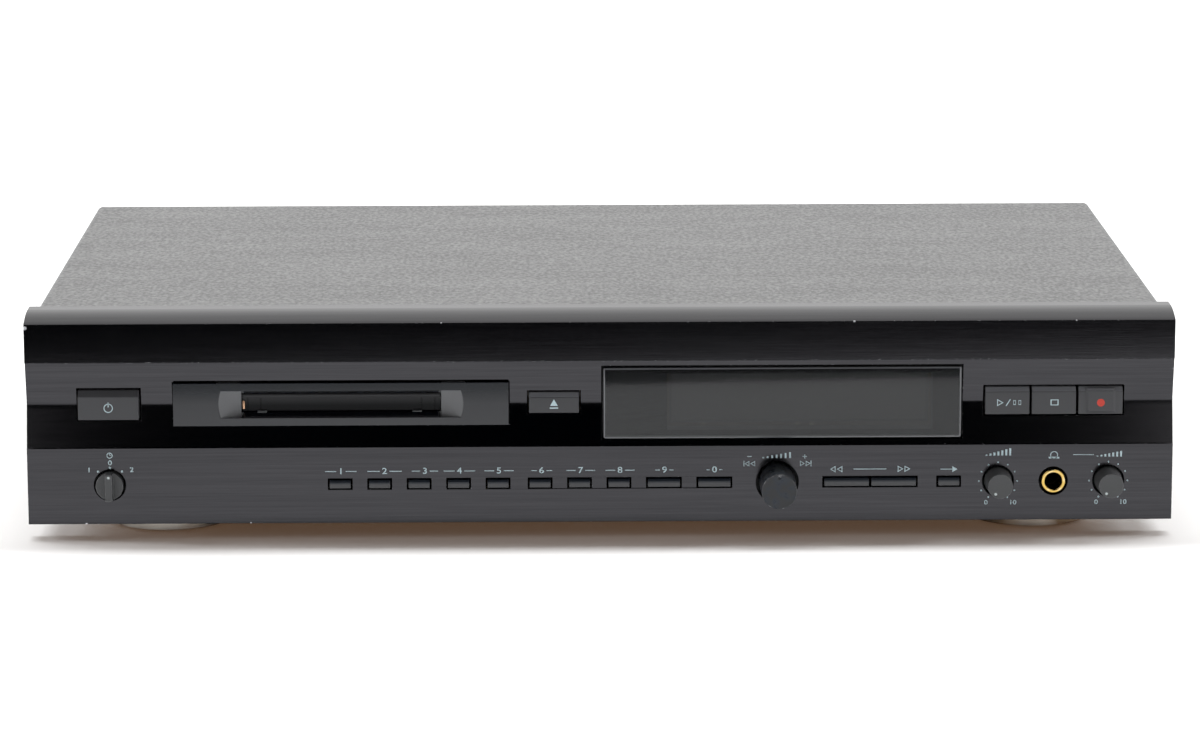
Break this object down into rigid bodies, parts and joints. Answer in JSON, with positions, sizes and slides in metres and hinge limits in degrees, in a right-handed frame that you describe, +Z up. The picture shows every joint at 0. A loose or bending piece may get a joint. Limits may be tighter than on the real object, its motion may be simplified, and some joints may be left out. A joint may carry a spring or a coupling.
{
  "type": "minidisc deck",
  "caption": "Wide, flat disc deck with a front slot, display window, push keys and rotary knobs, on round feet.",
  "frame": {"origin": "middle of the deck's outer box, on the surface that the feet stand on", "axes": "+X to the right as seen from the front, +Y from the front panel to the rear, +Z up"},
  "size_m": [0.435, 0.287, 0.0863],
  "materials": {
    "front_metal": "black, brushed along the width",
    "frame_plastic": "moulded black",
    "bezel_plastic": "satin black",
    "door_plastic": "satin black",
    "window_plastic": "smoked, glossy",
    "tube_glass": "grey glass",
    "key_plastic": "satin black",
    "knob_plastic": "satin black",
    "shaft_steel": "turned",
    "gold_plate": "gold plated",
    "socket_plastic": "moulded black",
    "board_brown": "resin board",
    "switch_plastic": "moulded",
    "control_plastic": "moulded",
    "cover_paint": "dark, finely textured paint",
    "chassis_steel": "zinc-plated sheet",
    "rear_paint": "black paint",
    "foot_metal": "bronze-coloured, satin",
    "pad_rubber": "matte black",
    "screw_steel": "black",
    "jack_nickel": "plated",
    "board_green": "resin board",
    "capacitor_sleeve": "blue sleeve",
    "chip_resin": "moulded resin",
    "core_iron": "laminated",
    "coil_tape": "copper winding under yellow tape",
    "mech_steel": "pressed sheet",
    "holder_steel": "pressed sheet",
    "turntable_plastic": "moulded white",
    "motor_steel": "plated",
    "sled_plastic": "die-cast, dark",
    "rod_steel": "ground",
    "lead_brass": "turned",
    "arm_steel": "spring steel"
  },
  "bodies": {
    "deck": {"front_panel": "front_metal", "front_frame": "frame_plastic", "slot_bezel": "bezel_plastic", "display_window": "window_plastic", "display_tube": "tube_glass", "phones_ring": "gold_plate", "phones_socket": "socket_plastic", "front_board": "board_brown", "key_switches": "switch_plastic", "dial_controls": "control_plastic", "top_cover": "cover_paint", "chassis": "chassis_steel", "rear_panel": "rear_paint", "feet": "foot_metal", "foot_pads": "pad_rubber", "screws": "screw_steel", "line_jacks": "jack_nickel", "jack_blocks": "socket_plastic", "optical_ports": "socket_plastic", "mains_inlet": "socket_plastic", "main_board": "board_green", "capacitors": "capacitor_sleeve", "chips": "chip_resin", "transformer_core": "core_iron", "transformer_coil": "coil_tape", "mech_base": "mech_steel", "spindle_motor": "motor_steel", "guide_rods": "rod_steel"},
    "power_key": {"power_button": "key_plastic"},
    "eject_key": {"eject_button": "key_plastic"},
    "play_key": {"play_button": "key_plastic"},
    "stop_key": {"stop_button": "key_plastic"},
    "rec_key": {"rec_button": "key_plastic"},
    "random_key": {"random_button": "key_plastic"},
    "repeat_key": {"repeat_button": "key_plastic"},
    "ab_repeat_key": {"ab_repeat_button": "key_plastic"},
    "display_key": {"display_button": "key_plastic"},
    "scroll_key": {"scroll_button": "key_plastic"},
    "title_key": {"title_button": "key_plastic"},
    "character_key": {"character_button": "key_plastic"},
    "delete_key": {"delete_button": "key_plastic"},
    "edit_key": {"edit_button": "key_plastic"},
    "set_key": {"set_button": "key_plastic"},
    "search_back_key": {"search_back_button": "key_plastic"},
    "search_forward_key": {"search_forward_button": "key_plastic"},
    "input_key": {"input_button": "key_plastic"},
    "timer_dial": {"timer_knob": "knob_plastic", "timer_shaft": "shaft_steel"},
    "jog_dial": {"jog_knob": "knob_plastic", "jog_shaft": "shaft_steel"},
    "rec_level_dial": {"rec_level_knob": "knob_plastic", "rec_level_shaft": "shaft_steel"},
    "phones_level_dial": {"phones_level_knob": "knob_plastic", "phones_level_shaft": "shaft_steel"},
    "door": {"slot_door": "door_plastic"},
    "holder": {"cartridge_holder": "holder_steel"},
    "disc_drive": {"turntable": "turntable_plastic"},
    "lead": {"lead_screw": "lead_brass"},
    "pickup": {"pickup_sled": "sled_plastic"},
    "head": {"head_arm": "arm_steel"}
  },
  "joints": [
    {"name": "power_press", "type": "slide", "parent": "deck", "child": "power_key", "axis": [0, 1, 0], "range_m": [0, 0.003], "stiffness_N_per_m": 300},
    {"name": "eject_press", "type": "slide", "parent": "deck", "child": "eject_key", "axis": [0, 1, 0], "range_m": [0, 0.0015], "stiffness_N_per_m": 400},
    {"name": "play_press", "type": "slide", "parent": "deck", "child": "play_key", "axis": [0, 1, 0], "range_m": [0, 0.0015], "stiffness_N_per_m": 400},
    {"name": "stop_press", "type": "slide", "parent": "deck", "child": "stop_key", "axis": [0, 1, 0], "range_m": [0, 0.0015], "stiffness_N_per_m": 400},
    {"name": "rec_press", "type": "slide", "parent": "deck", "child": "rec_key", "axis": [0, 1, 0], "range_m": [0, 0.0015], "stiffness_N_per_m": 400},
    {"name": "random_press", "type": "slide", "parent": "deck", "child": "random_key", "axis": [0, 1, 0], "range_m": [0, 0.0008], "stiffness_N_per_m": 400},
    {"name": "repeat_press", "type": "slide", "parent": "deck", "child": "repeat_key", "axis": [0, 1, 0], "range_m": [0, 0.0008], "stiffness_N_per_m": 400},
    {"name": "ab_repeat_press", "type": "slide", "parent": "deck", "child": "ab_repeat_key", "axis": [0, 1, 0], "range_m": [0, 0.0008], "stiffness_N_per_m": 400},
    {"name": "display_press", "type": "slide", "parent": "deck", "child": "display_key", "axis": [0, 1, 0], "range_m": [0, 0.0008], "stiffness_N_per_m": 400},
    {"name": "scroll_press", "type": "slide", "parent": "deck", "child": "scroll_key", "axis": [0, 1, 0], "range_m": [0, 0.0008], "stiffness_N_per_m": 400},
    {"name": "title_press", "type": "slide", "parent": "deck", "child": "title_key", "axis": [0, 1, 0], "range_m": [0, 0.0008], "stiffness_N_per_m": 400},
    {"name": "character_press", "type": "slide", "parent": "deck", "child": "character_key", "axis": [0, 1, 0], "range_m": [0, 0.0008], "stiffness_N_per_m": 400},
    {"name": "delete_press", "type": "slide", "parent": "deck", "child": "delete_key", "axis": [0, 1, 0], "range_m": [0, 0.0008], "stiffness_N_per_m": 400},
    {"name": "edit_press", "type": "slide", "parent": "deck", "child": "edit_key", "axis": [0, 1, 0], "range_m": [0, 0.0008], "stiffness_N_per_m": 400},
    {"name": "set_press", "type": "slide", "parent": "deck", "child": "set_key", "axis": [0, 1, 0], "range_m": [0, 0.0008], "stiffness_N_per_m": 400},
    {"name": "search_back_press", "type": "slide", "parent": "deck", "child": "search_back_key", "axis": [0, 1, 0], "range_m": [0, 0.0008], "stiffness_N_per_m": 400},
    {"name": "search_forward_press", "type": "slide", "parent": "deck", "child": "search_forward_key", "axis": [0, 1, 0], "range_m": [0, 0.0008], "stiffness_N_per_m": 400},
    {"name": "input_press", "type": "slide", "parent": "deck", "child": "input_key", "axis": [0, 1, 0], "range_m": [0, 0.0008], "stiffness_N_per_m": 400},
    {"name": "timer_turn", "type": "hinge", "parent": "deck", "child": "timer_dial", "pos_m": [-0.1863, -0.127, 0.0211], "axis": [0, 1, 0], "range_deg": [-37, 37]},
    {"name": "jog_turn", "type": "hinge", "parent": "deck", "child": "jog_dial", "pos_m": [0.0672, -0.127, 0.0211], "axis": [0, 1, 0], "continuous": true},
    {"name": "rec_level_turn", "type": "hinge", "parent": "deck", "child": "rec_level_dial", "pos_m": [0.1512, -0.127, 0.0211], "axis": [0, 1, 0], "range_deg": [0, 300]},
    {"name": "phones_level_turn", "type": "hinge", "parent": "deck", "child": "phones_level_dial", "pos_m": [0.1932, -0.127, 0.0211], "axis": [0, 1, 0], "range_deg": [0, 300]},
    {"name": "slot_door_swing", "type": "hinge", "parent": "deck", "child": "door", "pos_m": [-0.0983, -0.1205, 0.0544], "axis": [1, 0, 0], "range_deg": [0, 80], "stiffness_Nm_per_rad": 0.002},
    {"name": "holder_load", "type": "slide", "parent": "deck", "child": "holder", "axis": [0, 0, -1], "range_m": [0, 0.0046]},
    {"name": "turntable_spin", "type": "hinge", "parent": "deck", "child": "disc_drive", "pos_m": [-0.0983, -0.077, 0.0519], "axis": [0, 0, 1], "continuous": true},
    {"name": "lead_screw_turn", "type": "hinge", "parent": "deck", "child": "lead", "pos_m": [-0.1213, -0.103, 0.0357], "axis": [0, 1, 0], "range_deg": [0, 2700]},
    {"name": "pickup_travel", "type": "slide", "parent": "deck", "child": "pickup", "axis": [0, 1, 0], "range_m": [0, 0.015]},
    {"name": "head_arm_lower", "type": "hinge", "parent": "deck", "child": "head", "pos_m": [-0.0983, -0.0283, 0.0584], "axis": [1, 0, 0], "range_deg": [0, 6]}
  ],
  "couplings": [
    {"joint": "lead_screw_turn", "follows": "pickup_travel", "rad_per_m": 3141.6}
  ]
}
